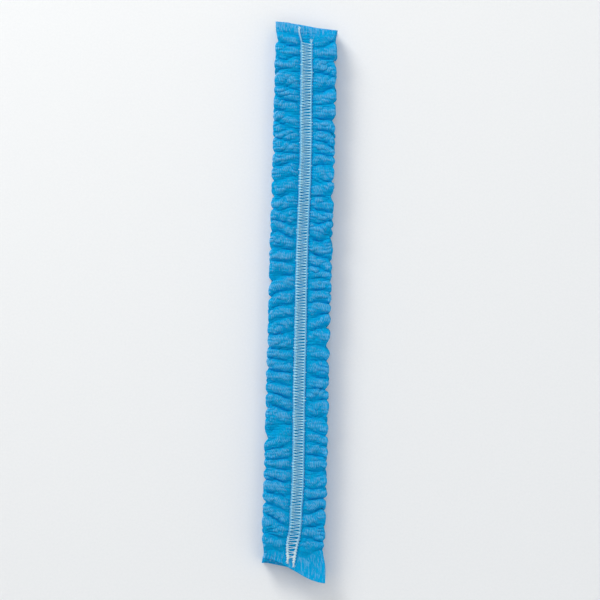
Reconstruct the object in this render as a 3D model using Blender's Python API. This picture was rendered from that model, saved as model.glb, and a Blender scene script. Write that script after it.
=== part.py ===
"""A disposable hairnet of the strip kind, folded the way it is packed.

The cap is one rectangle of nonwoven, pleated lengthwise like an accordion into a narrow strip.
A pair of taut elastic threads runs along the front pleat and another along the back pleat, and
they gather the whole strip crosswise into puffs. Both free rims of the rectangle end on the
right side. The strip lies on its back pleat, flattened where it rests.

Metres. +X is across the strip, +Y along it, +Z up. The origin is under the middle of the strip.
"""
import math
from dataclasses import dataclass
from typing import NamedTuple

import bmesh
import bpy

# The strip as a whole
STRIP_LENGTH = 0.210
STRIP_WIDTH = 0.0240
PLEATS = 6

# The wall that stands for two pressed layers of nonwoven, and the air between two pleats
WALL = 0.0010
PLEAT_GAP = 0.0003

# The elastic threads: two run side by side along each outer pleat
THREAD_DIAMETER = 0.0008
THREAD_SPACING = 0.0037
THREAD_CLEARANCE = 0.0003
FLOOR_CLEARANCE = 0.00005

# The gathers, and the plain ends past them
GATHERS = 38
TOP_TAIL = 0.0050
BOTTOM_TAIL = 0.0110
PUFF_HEIGHT = 0.0013
STACK_LIFT = 0.00025
SCALLOP = 0.0006
END_PINCH = 0.0009

# Depth of the channel under the back pleat, where its threads lie clear of the surface
BACK_CHANNEL = FLOOR_CLEARANCE + THREAD_DIAMETER + THREAD_CLEARANCE

# Half the flat bottom of the channel that both pairs of threads lie in
CHANNEL_HALF = THREAD_SPACING / 2 + THREAD_DIAMETER / 2 + THREAD_CLEARANCE


class Gather(NamedTuple):
    """One puff across the strip. Every value is a share of the size named beside it."""

    left_rise: float    # of PUFF_HEIGHT, left of the threads
    right_rise: float   # of PUFF_HEIGHT, right of the threads
    notch: float        # of PUFF_HEIGHT, what is left of the puff at the crease after it
    lean: float         # of a gather's length, how far the puff slants over the width
    bulge: float        # of SCALLOP, how far the creased edges swell


# The puffs follow this row of hand-made shapes, over and over
GATHER_SHAPES = [
    Gather(left_rise=0.85, right_rise=1.00, notch=0.25, lean=0.10, bulge=0.90),
    Gather(left_rise=1.00, right_rise=0.75, notch=0.35, lean=0.28, bulge=0.55),
    Gather(left_rise=0.70, right_rise=0.90, notch=0.20, lean=0.22, bulge=1.00),
    Gather(left_rise=0.95, right_rise=0.85, notch=0.45, lean=-0.04, bulge=0.70),
    Gather(left_rise=0.80, right_rise=1.00, notch=0.30, lean=-0.16, bulge=1.00),
    Gather(left_rise=1.00, right_rise=0.70, notch=0.20, lean=0.02, bulge=0.60),
    Gather(left_rise=0.75, right_rise=0.95, notch=0.40, lean=0.18, bulge=0.85),
]


class Cut(NamedTuple):
    """Where the cut ends lie, at one edge of the folded cloth."""

    bottom: float   # of BOTTOM_TAIL, how far the cut stays back from the lowest point
    top: float      # of TOP_TAIL, how far the cut stays back from the highest point


# One row for the front free rim, one for each fold and one for the back free rim
CUT_LINE = [
    Cut(bottom=0.00, top=0.65),
    Cut(bottom=0.78, top=0.00),
    Cut(bottom=0.40, top=0.50),
    Cut(bottom=0.66, top=0.25),
    Cut(bottom=0.30, top=0.55),
    Cut(bottom=0.72, top=0.15),
    Cut(bottom=0.20, top=0.45),
]


class Wander(NamedTuple):
    """The middle of a pair of threads, at one place along the strip."""

    along: float    # share of STRIP_LENGTH from the bottom end
    aside: float    # share of STRIP_WIDTH from the middle, + to the right


FRONT_ROUTE = [
    Wander(along=0.00, aside=-0.055),
    Wander(along=0.05, aside=-0.035),
    Wander(along=0.10, aside=0.020),
    Wander(along=0.18, aside=0.040),
    Wander(along=0.38, aside=0.022),
    Wander(along=0.58, aside=0.012),
    Wander(along=0.74, aside=0.030),
    Wander(along=0.90, aside=0.010),
    Wander(along=1.00, aside=-0.010),
]

BACK_ROUTE = [
    Wander(along=0.00, aside=0.030),
    Wander(along=0.12, aside=-0.015),
    Wander(along=0.40, aside=-0.030),
    Wander(along=0.70, aside=0.005),
    Wander(along=1.00, aside=0.020),
]


class ThreadEnds(NamedTuple):
    """Where one thread starts and stops, as shares of STRIP_LENGTH from the bottom end."""

    bottom: float
    top: float


THREAD_ENDS = {
    "front_elastic_left": ThreadEnds(bottom=0.040, top=0.985),
    "front_elastic_right": ThreadEnds(bottom=0.034, top=0.962),
    "back_elastic_left": ThreadEnds(bottom=0.045, top=0.955),
    "back_elastic_right": ThreadEnds(bottom=0.052, top=0.965),
}

THREAD_POINTS = 24
BOTTOM_CONVERGENCE = 0.60
CONVERGENCE_SHARE = 0.035

# Places across one side of an outer pleat, from the channel's edge (0) to the strip's edge (1)
CREST_INNER = 0.30
CREST_OUTER = 0.80
OUTER_FALL = 0.85
RIM_LIFT = 0.45
FOLD_STEPS = 3
CREASE_ANGLE = math.radians(50)

PLEAT_PITCH = WALL + PLEAT_GAP
FOLD_RADIUS = WALL + PLEAT_GAP / 2
FOLD_ANGLES = [math.pi / 2 - math.pi * step / FOLD_STEPS for step in range(1, FOLD_STEPS)]
FOLD_REACH = FOLD_RADIUS * max(math.cos(angle) for angle in FOLD_ANGLES)
GATHER_LENGTH = (STRIP_LENGTH - TOP_TAIL - BOTTOM_TAIL) / GATHERS
FRONT_HEIGHT = BACK_CHANNEL + WALL / 2 + (PLEATS - 1) * PLEAT_PITCH

CLOTH_COLOUR = (0.020, 0.270, 0.560, 1.0)
THREAD_COLOUR = (0.640, 0.780, 0.860, 1.0)


@dataclass(frozen=True)
class Station:
    """One cross-section of the strip."""

    y: float            # place along the strip, before lean and cut
    crest: float        # 1 on top of a puff, 0 in the crease between two
    left_rise: float    # height of the puff left of the threads, in metres
    right_rise: float   # height of the puff right of the threads, in metres
    lean: float         # metres along the strip for each metre across it
    inset: float        # how far both edges stay inside the strip's half width
    bottom_cut: float   # 1 on the bottom cut, 0 where the gathers start
    top_cut: float      # 1 on the top cut, 0 where the gathers end


@dataclass(frozen=True)
class Rib:
    """The two faces of the wall at one place along the folded cloth."""

    along: float                    # pleats passed since the front rim, with the share of this one
    first: tuple[float, float]      # (x, z) on the face that is up on the front pleat
    second: tuple[float, float]     # (x, z) on the other face
    first_shared: bool = False      # this face has the same corner as the rib before
    second_shared: bool = False


def smooth_between(points: list[tuple[float, float]], at: float) -> float:
    """Read a value from (place, value) points, easing in and out of each one."""
    if at <= points[0][0]:
        return points[0][1]
    for (start, first), (end, last) in zip(points, points[1:]):
        if at <= end:
            share = (at - start) / (end - start)
            return first + (last - first) * share * share * (3 - 2 * share)
    return points[-1][1]


def route_x(route: list[Wander], y: float) -> float:
    """Return how far the middle of a pair of threads lies from the strip's middle."""
    share = y / STRIP_LENGTH + 0.5
    return STRIP_WIDTH * smooth_between([(row.along, row.aside) for row in route], share)


def make_stations() -> list[Station]:
    """Lay out the cross-sections: the bottom tail, each puff with its crease, the top tail."""
    bottom_end = -STRIP_LENGTH / 2
    first_gather = bottom_end + BOTTOM_TAIL
    last_gather = STRIP_LENGTH / 2 - TOP_TAIL
    plain = dict(crest=0.0, left_rise=0.0, right_rise=0.0, lean=0.0)
    stations = [
        Station(y=bottom_end, inset=0.0, bottom_cut=1.0, top_cut=0.0, **plain),
        Station(y=first_gather - BOTTOM_TAIL / 2, inset=END_PINCH / 2, bottom_cut=0.5,
                top_cut=0.0, **plain),
        Station(y=first_gather, inset=END_PINCH + SCALLOP, bottom_cut=0.0, top_cut=0.0, **plain),
    ]
    for index in range(GATHERS):
        shape = GATHER_SHAPES[index % len(GATHER_SHAPES)]
        start = first_gather + index * GATHER_LENGTH
        lean = shape.lean * GATHER_LENGTH / STRIP_WIDTH
        near_end = END_PINCH if index in (0, GATHERS - 1) else 0.0
        stations.append(Station(
            y=start + GATHER_LENGTH / 2, crest=1.0, lean=lean,
            left_rise=PUFF_HEIGHT * shape.left_rise, right_rise=PUFF_HEIGHT * shape.right_rise,
            inset=SCALLOP * (1 - shape.bulge) + near_end / 2, bottom_cut=0.0, top_cut=0.0))
        if index < GATHERS - 1:
            rise = PUFF_HEIGHT * shape.notch
            stations.append(Station(
                y=start + GATHER_LENGTH, crest=0.0, lean=lean, left_rise=rise, right_rise=rise,
                inset=SCALLOP * (1 + shape.bulge) + near_end, bottom_cut=0.0, top_cut=0.0))
    stations += [
        Station(y=last_gather, inset=END_PINCH + SCALLOP, bottom_cut=0.0, top_cut=0.0, **plain),
        Station(y=STRIP_LENGTH / 2, inset=0.0, bottom_cut=0.0, top_cut=1.0, **plain),
    ]
    return stations


def pleat_heights(station: Station) -> list[float]:
    """Return the middle height of each pleat's wall, front pleat first."""
    heights = []
    for pleat in range(PLEATS):
        level = FRONT_HEIGHT - pleat * PLEAT_PITCH
        share_up = 1 - pleat / (PLEATS - 1)
        heights.append(level + STACK_LIFT * station.crest * share_up)
    return heights


def outer_profile(station: Station, route: list[Wander], front: bool,
                  free_side: int) -> list[tuple[float, float]]:
    """Return (x, lift) places over an outer pleat, from its free rim to its fold.

    Args:
        station: the cross-section that the places belong to.
        route: the threads that the pleat's channel follows.
        front: whether this is the front pleat, which puffs up, or the back one, which sags flat.
        free_side: 1 if the free rim is on the right, -1 if it is on the left.
    """
    middle = route_x(route, station.y)
    places = []
    for side in (free_side, -free_side):
        is_free = side == free_side
        edge = side * (STRIP_WIDTH / 2 - station.inset)
        if not is_free:
            edge -= side * FOLD_REACH
        channel = middle + side * CHANNEL_HALF
        inner = channel + CREST_INNER * (edge - channel)
        outer = channel + CREST_OUTER * (edge - channel)
        if front:
            rise = station.right_rise if side > 0 else station.left_rise
            rim = RIM_LIFT * rise if is_free else 0.0
            row = [(channel, 0.0), (inner, rise), (outer, OUTER_FALL * rise), (edge, rim)]
        elif is_free:
            row = [(channel, 0.0), (inner, -BACK_CHANNEL), (edge, -BACK_CHANNEL)]
        else:
            row = [(channel, 0.0), (inner, -BACK_CHANNEL), (outer, -BACK_CHANNEL), (edge, 0.0)]
        places += reversed(row) if is_free else row
    return places


def fold_ribs(station: Station, upper: float, lower: float, side: int,
              along: float) -> list[Rib]:
    """Turn the cloth round one fold, from the end of the pleat above to the one below."""
    edge = side * (STRIP_WIDTH / 2 - station.inset - FOLD_REACH)
    middle = (upper + lower) / 2
    radius = (upper - lower + WALL) / 2
    half_gap = (upper - lower - WALL) / 2
    ribs = []
    for angle in FOLD_ANGLES:
        outer = (edge + side * radius * math.cos(angle), middle + radius * math.sin(angle))
        inner = (edge, middle + math.copysign(half_gap, math.sin(angle)))
        upper_half = math.sin(angle) > 0
        if side < 0:
            ribs.append(Rib(along, outer, inner, second_shared=upper_half))
        else:
            ribs.append(Rib(along, inner, outer, first_shared=upper_half))
    return ribs


def section_ribs(station: Station) -> list[Rib]:
    """Follow the folded cloth through one cross-section, front free rim to back free rim."""
    heights = pleat_heights(station)
    fold_edge = STRIP_WIDTH / 2 - station.inset - FOLD_REACH
    ribs = []
    for pleat, height in enumerate(heights):
        start_side = 1 if pleat % 2 == 0 else -1
        if pleat == 0:
            places = outer_profile(station, FRONT_ROUTE, True, start_side)
        elif pleat == PLEATS - 1:
            places = outer_profile(station, BACK_ROUTE, False, -start_side)[::-1]
        else:
            places = [(start_side * fold_edge, 0.0), (-start_side * fold_edge, 0.0)]
        for index, (x, lift) in enumerate(places):
            along = pleat + index / (len(places) - 1)
            upward = (x, height + lift + WALL / 2)
            downward = (x, height + lift - WALL / 2)
            faces = (upward, downward) if start_side > 0 else (downward, upward)
            after_fold = pleat > 0 and index == 0
            ribs.append(Rib(along, *faces,
                            first_shared=after_fold and start_side > 0,
                            second_shared=after_fold and start_side < 0))
        if pleat < PLEATS - 1:
            ribs += fold_ribs(station, height, heights[pleat + 1], -start_side, pleat + 1)
    return ribs


def cut_y(station: Station, along: float, x: float) -> float:
    """Return a corner's place along the strip, with the puff's lean and the slanted cuts."""
    last = min(int(along), PLEATS - 1)
    before = CUT_LINE[last % len(CUT_LINE)]
    after = CUT_LINE[(last + 1) % len(CUT_LINE)]
    bottom = smooth_between([(last, before.bottom), (last + 1, after.bottom)], along)
    top = smooth_between([(last, before.top), (last + 1, after.top)], along)
    y = station.y + station.lean * x
    return y + station.bottom_cut * BOTTOM_TAIL * bottom - station.top_cut * TOP_TAIL * top


def add_corners(mesh: bmesh.types.BMesh, station: Station) -> tuple[list, list]:
    """Add one cross-section's corners, and return them rib by rib for both faces."""
    first_row = []
    second_row = []
    for rib in section_ribs(station):
        if rib.first_shared:
            first_row.append(first_row[-1])
        else:
            x, z = rib.first
            first_row.append(mesh.verts.new((x, cut_y(station, rib.along, x), z)))
        if rib.second_shared:
            second_row.append(second_row[-1])
        else:
            x, z = rib.second
            second_row.append(mesh.verts.new((x, cut_y(station, rib.along, x), z)))
    return first_row, second_row


def add_face(mesh: bmesh.types.BMesh, corners: list) -> None:
    """Add one face, leaving out corners that two ribs share."""
    kept = []
    for corner in corners:
        if corner not in kept:
            kept.append(corner)
    if len(kept) > 2:
        mesh.faces.new(kept)


def build_crown() -> bpy.types.Object:
    """Skin the cross-sections into the one closed body of the pleated, gathered cap."""
    mesh = bmesh.new()
    rows = [add_corners(mesh, station) for station in make_stations()]
    count = len(rows[0][0])
    for (first, second), (next_first, next_second) in zip(rows, rows[1:]):
        for rib in range(count - 1):
            add_face(mesh, [first[rib], first[rib + 1], next_first[rib + 1], next_first[rib]])
            add_face(mesh, [second[rib + 1], second[rib], next_second[rib], next_second[rib + 1]])
        add_face(mesh, [second[0], first[0], next_first[0], next_second[0]])
        add_face(mesh, [first[-1], second[-1], next_second[-1], next_first[-1]])
    for first, second in (rows[0], rows[-1]):
        for rib in range(count - 1):
            add_face(mesh, [first[rib], second[rib], second[rib + 1], first[rib + 1]])
    bmesh.ops.recalc_face_normals(mesh, faces=mesh.faces)
    data = bpy.data.meshes.new("pleated_crown")
    mesh.to_mesh(data)
    mesh.free()
    crown = bpy.data.objects.new("pleated_crown", data)
    bpy.context.collection.objects.link(crown)
    data.shade_smooth()
    data.set_sharp_from_angle(angle=CREASE_ANGLE)
    data.materials.append(make_material("nonwoven", CLOTH_COLOUR, 0.85))
    return crown


def thread_x(name: str, route: list[Wander], share: float) -> float:
    """Return a thread's place across the strip; the pair draws together at the bottom end."""
    ends = THREAD_ENDS[name]
    side = -1 if name.endswith("left") else 1
    spread = smooth_between([(ends.bottom, BOTTOM_CONVERGENCE),
                             (ends.bottom + CONVERGENCE_SHARE, 1.0)], share)
    y = (share - 0.5) * STRIP_LENGTH
    return route_x(route, y) + side * spread * THREAD_SPACING / 2


def build_thread(name: str, route: list[Wander], height: float) -> bpy.types.Object:
    """Lay one elastic thread along its channel as a round tube with capped ends."""
    curve = bpy.data.curves.new(name, "CURVE")
    curve.dimensions = "3D"
    curve.bevel_depth = THREAD_DIAMETER / 2
    curve.bevel_resolution = 1
    curve.use_fill_caps = True
    spline = curve.splines.new("POLY")
    spline.points.add(THREAD_POINTS - 1)
    ends = THREAD_ENDS[name]
    for index, point in enumerate(spline.points):
        share = ends.bottom + (ends.top - ends.bottom) * index / (THREAD_POINTS - 1)
        y = (share - 0.5) * STRIP_LENGTH
        point.co = (thread_x(name, route, share), y, 0.0, 1.0)
    thread = bpy.data.objects.new(name, curve)
    thread.location.z = height
    bpy.context.collection.objects.link(thread)
    curve.materials.append(make_material(name, THREAD_COLOUR, 0.6))
    return thread


def make_material(name: str, colour: tuple[float, float, float, float],
                  roughness: float) -> bpy.types.Material:
    """Make a plain Principled material."""
    material = bpy.data.materials.new(name)
    material.use_nodes = True
    shader = material.node_tree.nodes["Principled BSDF"]
    shader.inputs["Base Color"].default_value = colour
    shader.inputs["Roughness"].default_value = roughness
    shader.inputs["Metallic"].default_value = 0.0
    return material


def main() -> None:
    """Build the cap and its four elastic threads."""
    for old in list(bpy.data.objects):
        bpy.data.objects.remove(old, do_unlink=True)
    build_crown()
    above_front = FRONT_HEIGHT + WALL / 2 + STACK_LIFT + THREAD_CLEARANCE + THREAD_DIAMETER / 2
    below_back = FLOOR_CLEARANCE + THREAD_DIAMETER / 2
    build_thread("front_elastic_left", FRONT_ROUTE, above_front)
    build_thread("front_elastic_right", FRONT_ROUTE, above_front)
    build_thread("back_elastic_left", BACK_ROUTE, below_back)
    build_thread("back_elastic_right", BACK_ROUTE, below_back)


main()
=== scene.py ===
"""Looks of a disposable hairnet of the strip kind, folded the way it is packed.

The cap is one rectangle of thin blue nonwoven, pleated like an accordion and gathered crosswise
by two pairs of white elastic threads, one along its front pleat and one along its back pleat.
Each pair is sewn down with a ladder of binding thread. The strip lies on its back pleat.
"""
import logging
import math
from collections.abc import Callable
from dataclasses import dataclass, field
from enum import Enum
from typing import NamedTuple

import bpy
import numpy as np
from mathutils import Euler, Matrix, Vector


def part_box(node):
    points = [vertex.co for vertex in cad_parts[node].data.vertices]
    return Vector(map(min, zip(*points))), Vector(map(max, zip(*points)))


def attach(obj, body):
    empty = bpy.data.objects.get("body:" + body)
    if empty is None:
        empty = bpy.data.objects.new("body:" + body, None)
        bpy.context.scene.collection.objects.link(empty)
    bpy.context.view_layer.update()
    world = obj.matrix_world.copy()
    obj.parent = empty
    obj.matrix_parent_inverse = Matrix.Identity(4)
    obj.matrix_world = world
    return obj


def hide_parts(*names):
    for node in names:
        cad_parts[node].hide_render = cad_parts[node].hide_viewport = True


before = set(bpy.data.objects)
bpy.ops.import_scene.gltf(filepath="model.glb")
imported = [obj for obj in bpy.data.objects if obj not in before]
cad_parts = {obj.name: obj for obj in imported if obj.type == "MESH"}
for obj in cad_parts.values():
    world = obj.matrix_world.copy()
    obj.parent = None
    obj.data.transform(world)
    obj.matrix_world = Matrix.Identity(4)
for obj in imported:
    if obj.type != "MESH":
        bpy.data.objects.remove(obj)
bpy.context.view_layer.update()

logging.basicConfig(level=logging.INFO, format="%(message)s")
log = logging.getLogger("hairnet")

MM = 0.001
ROOT = "root"
CROWN = "pleated_crown"

# The size of a wandering along the axis on which it stays the same
EVEN = 1.0


class Side(Enum):
    """A side of the strip, as its sign along X."""

    LEFT = -1
    RIGHT = 1


class Face(Enum):
    """Which outer pleat a pair of threads is sewn to."""

    FRONT = "front"
    BACK = "back"


def linear(hex_colour: str) -> tuple[float, float, float, float]:
    """Turn an sRGB hex colour into a linear one with alpha.

    Args:
        hex_colour: six hex digits, with or without a leading #.

    Returns:
        The linear red, green and blue, and an alpha of 1.
    """
    digits = hex_colour.lstrip("#")
    values = [int(digits[place:place + 2], 16) / 255 for place in (0, 2, 4)]
    channels = [v / 12.92 if v <= 0.04045 else ((v + 0.055) / 1.055) ** 2.4 for v in values]
    return (*channels, 1.0)


def smoothstep(low: float, high: float, value: np.ndarray) -> np.ndarray:
    """Rise smoothly from 0 where value is low to 1 where it is high."""
    share = np.clip((value - low) / (high - low), 0.0, 1.0)
    return share * share * (3 - 2 * share)


def eased_up(least: float, share: np.ndarray) -> np.ndarray:
    """Return a value that goes from least to 1 as the share goes from 0 to 1."""
    return least + (1 - least) * share


class Wander(NamedTuple):
    """A smooth random wandering over the strip, with the size of one of its bumps."""

    strength: float         # how far it goes either way
    width: float            # in metres, or EVEN where it is read at one place across
    length: float           # in metres, or EVEN where it is read at one place along
    start: float = 0.0      # where in its noise it starts, so that two wanderings differ


class SmoothNoise:
    """Smooth random heights over a plane, the same on every run."""

    LATTICE = 256
    OFFSETS = (0.37, 0.71)      # keep the lattice's lines away from the middle of the strip

    def __init__(self, seed: int) -> None:
        """Draw the lattice of heights that the noise runs through."""
        shape = (self.LATTICE, self.LATTICE)
        self._heights = np.random.default_rng(seed).uniform(-1.0, 1.0, shape)

    def at(self, x: np.ndarray, y: np.ndarray, size_x: float, size_y: float) -> np.ndarray:
        """Read heights between -1 and 1.

        Args:
            x: places across, in metres.
            y: places along, in metres.
            size_x: the width of one bump, in metres.
            size_y: the length of one bump, in metres.

        Returns:
            One height for each place.
        """
        offset_x, offset_y = self.OFFSETS
        u, v = np.broadcast_arrays(x / size_x + offset_x, y / size_y + offset_y)
        column = np.floor(u).astype(int)
        row = np.floor(v).astype(int)
        part_u = u - column
        part_v = v - row
        part_u = part_u * part_u * (3 - 2 * part_u)
        part_v = part_v * part_v * (3 - 2 * part_v)
        near, far = column % self.LATTICE, (column + 1) % self.LATTICE
        low, high = row % self.LATTICE, (row + 1) % self.LATTICE
        bottom = self._heights[near, low] * (1 - part_u) + self._heights[far, low] * part_u
        top = self._heights[near, high] * (1 - part_u) + self._heights[far, high] * part_u
        return bottom * (1 - part_v) + top * part_v

    def wander(self, wander: Wander, x: np.ndarray, y: np.ndarray) -> np.ndarray:
        """Return how far a wandering goes at each place."""
        return wander.strength * self.at(x + wander.start, y, wander.width, wander.length)


class RoutePoint(NamedTuple):
    """The middle of a pair of threads, at one place along the strip."""

    along: float    # share of the strip's length from the bottom end
    aside: float    # share of the strip's width from its middle, + to the right


FRONT_ROUTE = [
    RoutePoint(along=0.00, aside=-0.055),
    RoutePoint(along=0.05, aside=-0.035),
    RoutePoint(along=0.10, aside=0.020),
    RoutePoint(along=0.18, aside=0.040),
    RoutePoint(along=0.38, aside=0.022),
    RoutePoint(along=0.58, aside=0.012),
    RoutePoint(along=0.74, aside=0.030),
    RoutePoint(along=0.90, aside=0.010),
    RoutePoint(along=1.00, aside=-0.010),
]

BACK_ROUTE = [
    RoutePoint(along=0.00, aside=0.030),
    RoutePoint(along=0.12, aside=-0.015),
    RoutePoint(along=0.40, aside=-0.030),
    RoutePoint(along=0.70, aside=0.005),
    RoutePoint(along=1.00, aside=0.020),
]

ROUTES = {Face.FRONT: FRONT_ROUTE, Face.BACK: BACK_ROUTE}


class CutEdge(NamedTuple):
    """Where the cut ends lie at one edge of the folded cloth, as shares of the plain tails."""

    bottom: float   # how far the cut stays back from the lowest point
    top: float      # how far the cut stays back from the highest point


# One row for the front free rim, one for each fold, and one for the back free rim
CUT_EDGES = [
    CutEdge(bottom=0.00, top=0.65),
    CutEdge(bottom=0.78, top=0.02),
    CutEdge(bottom=0.36, top=0.50),
    CutEdge(bottom=0.70, top=0.22),
    CutEdge(bottom=0.44, top=0.62),
    CutEdge(bottom=0.62, top=0.10),
    CutEdge(bottom=0.30, top=0.42),
    CutEdge(bottom=0.74, top=0.28),
    CutEdge(bottom=0.40, top=0.58),
    CutEdge(bottom=0.66, top=0.16),
    CutEdge(bottom=0.28, top=0.46),
    CutEdge(bottom=0.70, top=0.24),
    CutEdge(bottom=0.20, top=0.40),
]


@dataclass(frozen=True)
class StripSizes:
    """The sizes that the frame gives, and the sizes of the cloth and its gathers."""

    low: Vector = field(default_factory=lambda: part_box(CROWN)[0])
    high: Vector = field(default_factory=lambda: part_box(CROWN)[1])
    layers: int = 12                    # chosen; the view hides how many there are
    gathers: int = 38
    top_tail: float = 5.0 * MM
    bottom_tail: float = 11.0 * MM
    flat_length: float = 400.0 * MM     # a guess; the real cloth may be up to 530 mm long
    cloth: float = 0.12 * MM
    thread_spacing: float = 3.7 * MM
    stitch_pitch: float = 1.04 * MM

    @property
    def length(self) -> float:
        """Return the strip's length."""
        return self.high.y - self.low.y

    @property
    def half_width(self) -> float:
        """Return half the strip's width."""
        return (self.high.x - self.low.x) / 2

    @property
    def first_gather(self) -> float:
        """Return where along the strip the gathers start."""
        return self.low.y + self.bottom_tail

    @property
    def last_gather(self) -> float:
        """Return where along the strip the gathers end."""
        return self.high.y - self.top_tail

    @property
    def gather_length(self) -> float:
        """Return the length of one gather."""
        return (self.last_gather - self.first_gather) / self.gathers


SIZES = StripSizes()


def route_x(face: Face, y: np.ndarray) -> np.ndarray:
    """Return how far the middle of a face's threads lies from the strip's middle."""
    share = (y - SIZES.low.y) / SIZES.length
    places = np.zeros_like(share) + ROUTES[face][0].aside
    for start, end in zip(ROUTES[face], ROUTES[face][1:]):
        eased = smoothstep(start.along, end.along, share)
        places = places + (end.aside - start.aside) * eased
    return places * 2 * SIZES.half_width


def add_node(tree: bpy.types.NodeTree, kind: str, links: dict | None = None,
             **settings: object) -> bpy.types.Node:
    """Add a node with its settings, values and links.

    Args:
        tree: the material's node tree.
        kind: the node's type, such as ShaderNodeTexNoise.
        links: socket name or number to the value, or to the socket that feeds it.
        settings: the node's own properties.

    Returns:
        The new node.
    """
    node = tree.nodes.new(kind)
    for name, value in settings.items():
        setattr(node, name, value)
    for name, value in (links or {}).items():
        if isinstance(value, bpy.types.NodeSocket):
            tree.links.new(value, node.inputs[name])
        else:
            node.inputs[name].default_value = value
    return node


def wave_scale(pitch: float) -> float:
    """Return the scale at which a wave texture's bands are this far apart, in metres."""
    return math.pi / (10 * pitch)


class Grain(NamedTuple):
    """The grains of a noise on the flat cloth."""

    width: float        # in metres
    length: float       # in metres
    detail: float       # how many finer noises lie in it


@dataclass(frozen=True)
class SpunbondNonwoven:
    """Spunbond polypropylene, thermally bonded and then crinkled by gathering.

    It is matte and a little fuzzy. Its fibres run mostly lengthwise and show as fine paler ribs,
    the gathers leave creping across them, and the bonding leaves a grid of dots. The crests of
    the puffs and the plain tails are painted paler: a painted highlight for the light that passes
    through the thin crests and falls on them. Single fibres and bond dots are too fine to show,
    so bundles of fibres and a coarser grid stand for them.
    """

    crease: str = "#00A5E7"
    body: str = "#009FE4"
    # painted highlight: the pale colour of the crests and of the plain tails
    crest: str = "#63B3F0"

    fibres: Grain = Grain(0.26 * MM, 3.0 * MM, 3.0)     # bundles; a fibre is 0.02 mm wide
    crepe: Grain = Grain(2.4 * MM, 0.95 * MM, 2.0)      # the gathers halve its length
    mottling: Grain = Grain(5.0 * MM, 10.0 * MM, 4.0)
    # the tails' streaks are painted light and shade for their lengthwise ribs
    streaks: Grain = Grain(0.75 * MM, 7.0 * MM, 1.0)    # soft ones, along the plain tails
    grain_roughness: float = 0.6
    rib_pitch: float = 0.68 * MM
    rib_waver: float = 2.2
    rib_detail: float = 2.0
    rib_detail_scale: float = 1.5
    bond_pitch: float = 0.95 * MM                       # about 0.7 mm on the real cloth
    bond_scatter: float = 0.35

    base_tone: float = -2.17            # brings the weighted patterns together into the ramp
    # the weight of the painted highlight on the crests and tails
    crest_highlight_tone: float = 1.22
    fibre_tone: float = 1.50
    crepe_tone: float = 0.85
    mottling_tone: float = 0.65
    rib_tone: float = 0.45
    streak_tone: float = 2.6
    streak_middle: float = 0.5

    fibre_relief: float = 0.20 * MM
    crepe_relief: float = 0.34 * MM
    rib_relief: float = 0.09 * MM
    bond_relief: float = 0.04 * MM
    relief_strength: float = 0.9

    roughness: float = 0.85
    specular: float = 0.05
    glow: float = 0.35                  # share of the light that spreads inside the thin cloth
    glow_reach: float = 1.0 * MM
    glow_colours: tuple[float, float, float] = (0.25, 0.75, 0.90)
    sheen: float = 0.02
    sheen_roughness: float = 0.5
    sheen_tint: str = "#A9DBF5"

    def material(self) -> bpy.types.Material:
        """Build the material; its patterns lie on the cloth's own UV map, in metres."""
        material = bpy.data.materials.new("spunbond_nonwoven")
        material.use_nodes = True
        tree = material.node_tree
        shader = tree.nodes["Principled BSDF"]
        flat = add_node(tree, "ShaderNodeUVMap", uv_map="flat_cloth").outputs["UV"]
        fibres = self._noise(tree, flat, self.fibres)
        crepe = self._noise(tree, flat, self.crepe)
        mottling = self._noise(tree, flat, self.mottling)
        ribs = add_node(tree, "ShaderNodeTexWave", {
            "Vector": flat, "Scale": wave_scale(self.rib_pitch), "Distortion": self.rib_waver,
            "Detail": self.rib_detail, "Detail Scale": self.rib_detail_scale},
            bands_direction="X").outputs["Fac"]
        bonds = add_node(tree, "ShaderNodeTexVoronoi", {
            "Vector": flat, "Scale": 1 / self.bond_pitch,
            "Randomness": self.bond_scatter}).outputs["Distance"]
        # painted highlight: how high the cloth stands in its puff, with the tails painted paler
        height = add_node(tree, "ShaderNodeAttribute", attribute_name="crest").outputs["Fac"]
        # painted light and shade: streaks that stand for the tails' ribs
        streaks = self._painted_tail_rib_shading(tree, flat)
        tone = self._sum(tree, self.base_tone, (height, self.crest_highlight_tone),
                         (fibres, self.fibre_tone), (crepe, self.crepe_tone),
                         (mottling, self.mottling_tone), (ribs, self.rib_tone),
                         (streaks, self.streak_tone))
        ramp = add_node(tree, "ShaderNodeValToRGB", {"Fac": tone})
        self._colour(ramp.color_ramp)
        tree.links.new(ramp.outputs["Color"], shader.inputs["Base Color"])
        relief = self._sum(tree, 0.0, (fibres, self.fibre_relief), (crepe, self.crepe_relief),
                           (ribs, self.rib_relief), (bonds, self.bond_relief))
        bump = add_node(tree, "ShaderNodeBump", {
            "Height": relief, "Distance": 1.0,
            "Strength": self.relief_strength}).outputs["Normal"]
        tree.links.new(bump, shader.inputs["Normal"])
        shader.inputs["Roughness"].default_value = self.roughness
        shader.inputs["Specular IOR Level"].default_value = self.specular
        shader.inputs["Subsurface Weight"].default_value = self.glow
        shader.inputs["Subsurface Radius"].default_value = self.glow_colours
        shader.inputs["Subsurface Scale"].default_value = self.glow_reach
        shader.inputs["Sheen Weight"].default_value = self.sheen
        shader.inputs["Sheen Roughness"].default_value = self.sheen_roughness
        shader.inputs["Sheen Tint"].default_value = linear(self.sheen_tint)
        return material

    def _painted_tail_rib_shading(self, tree: bpy.types.NodeTree,
                      flat: bpy.types.NodeSocket) -> bpy.types.NodeSocket:
        """Return painted rib shade along the plain tails, as streaks either side of 0, and 0 in the
        gathers.
        """
        plain = add_node(tree, "ShaderNodeAttribute", attribute_name="plain").outputs["Fac"]
        streaks = self._noise(tree, flat, self.streaks)
        streaks = add_node(tree, "ShaderNodeMath", {0: streaks, 1: self.streak_middle},
                           operation="SUBTRACT").outputs[0]
        return add_node(tree, "ShaderNodeMath", {0: streaks, 1: plain},
                        operation="MULTIPLY").outputs[0]

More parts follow.
